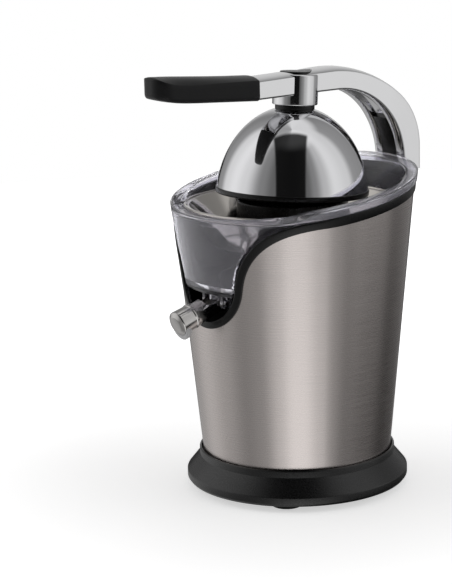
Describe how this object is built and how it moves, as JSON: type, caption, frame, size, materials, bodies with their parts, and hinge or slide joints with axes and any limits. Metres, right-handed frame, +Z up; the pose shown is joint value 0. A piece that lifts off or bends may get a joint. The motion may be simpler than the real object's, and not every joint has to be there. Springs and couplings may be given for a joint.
{
  "type": "citrus juicer",
  "caption": "Electric citrus juicer with a brushed steel body, clear juice container, tilting spout and a chrome press dome on a hinged lever arm with a soft grip.",
  "frame": {"origin": "on the reamer's axis, on the worktop that the feet stand on", "axes": "+Z up along the reamer's axis, -Y towards the spout and the handle, +X to the right seen from the front"},
  "size_m": [0.1978, 0.2565, 0.3407],
  "materials": {
    "black_plastic": "fine spark texture",
    "black_satin": "satin",
    "rubber": "matte",
    "zinc_steel": "zinc plated",
    "brushed_steel": "brushed round the body",
    "polished_steel": "polished",
    "grey_plastic": "moulded",
    "white_plastic": "moulded",
    "laminations": "stacked sheet",
    "copper": "enamelled wire",
    "bronze": "sintered",
    "clear_plastic": "clear",
    "polished_casting": "polished and plated",
    "soft_touch": "soft touch",
    "chrome": "mirror"
  },
  "bodies": {
    "stand": {"base_ring": "black_plastic", "bottom_cover": "black_plastic", "rubber_feet": "rubber", "base_screws": "zinc_steel", "cord_gland": "rubber", "steel_shell": "brushed_steel", "rim_trim": "black_satin", "inner_housing": "black_plastic", "housing_deck": "black_plastic", "container_stand": "black_plastic", "gearbox_tray": "grey_plastic", "gearbox_lid": "grey_plastic", "gearbox_screws": "zinc_steel", "motor_stator": "laminations", "motor_coils": "copper", "motor_bracket": "zinc_steel", "motor_bolts": "zinc_steel", "motor_bushes": "bronze", "idler_pin": "zinc_steel", "return_spring": "zinc_steel", "microswitch": "black_plastic", "shaft_bush": "bronze", "shaft_seal": "rubber", "juice_container": "clear_plastic", "strainer": "polished_steel", "hinge_bracket": "black_satin", "bracket_screws": "zinc_steel", "hinge_pin": "polished_steel"},
    "lever": {"lever_arm": "polished_casting", "arm_inlay": "black_satin", "hub_cap": "black_satin", "grip": "soft_touch", "dome_shell": "chrome", "dome_rim": "black_satin", "dome_liner": "black_plastic", "dome_collar": "black_satin", "dome_bolt": "zinc_steel", "hinge_bushes": "white_plastic"},
    "plunger": {"switch_plate": "grey_plastic"},
    "spindle": {"drive_shaft": "polished_steel", "reamer": "black_satin"},
    "output": {"output_gear": "white_plastic", "gear_circlip": "zinc_steel"},
    "idler": {"idler_gear": "white_plastic"},
    "rotor": {"rotor_core": "laminations", "rotor_shaft": "zinc_steel", "motor_pinion": "bronze"},
    "spout_tube": {"spout": "polished_steel"},
    "button": {"switch_button": "white_plastic"}
  },
  "joints": [
    {"name": "lever_lift", "type": "hinge", "parent": "stand", "child": "lever", "pos_m": [0, 0.1115, 0.236], "axis": [-1, 0, 0], "range_deg": [0, 72]},
    {"name": "rotor_spin", "type": "hinge", "parent": "stand", "child": "rotor", "pos_m": [0, 0, 0.057], "axis": [0, 0, 1], "continuous": true},
    {"name": "idler_spin", "type": "hinge", "parent": "stand", "child": "idler", "pos_m": [0, 0.035, 0.098], "axis": [0, 0, 1], "continuous": true},
    {"name": "output_spin", "type": "hinge", "parent": "stand", "child": "output", "pos_m": [0, 0, 0.107], "axis": [0, 0, 1], "continuous": true},
    {"name": "reamer_press", "type": "slide", "parent": "stand", "child": "plunger", "axis": [0, 0, 1], "range_m": [-0.0025, 0], "stiffness_N_per_m": 3000, "springref_m": 0.003, "deforming": ["return_spring"]},
    {"name": "reamer_spin", "type": "hinge", "parent": "plunger", "child": "spindle", "pos_m": [0, 0, 0.2], "axis": [0, 0, 1], "continuous": true},
    {"name": "spout_tilt", "type": "hinge", "parent": "stand", "child": "spout_tube", "pos_m": [0, -0.0764, 0.1607], "axis": [-1, 0, 0], "range_deg": [0, 28]},
    {"name": "button_press", "type": "slide", "parent": "stand", "child": "button", "axis": [0, 0, 1], "range_m": [-0.0025, 0]}
  ],
  "couplings": [
    {"joint": "idler_spin", "follows": "rotor_spin", "ratio": -0.2069},
    {"joint": "output_spin", "follows": "rotor_spin", "ratio": 0.051724},
    {"joint": "reamer_spin", "follows": "rotor_spin", "ratio": 0.051724},
    {"joint": "button_press", "follows": "reamer_press", "ratio": 1}
  ]
}
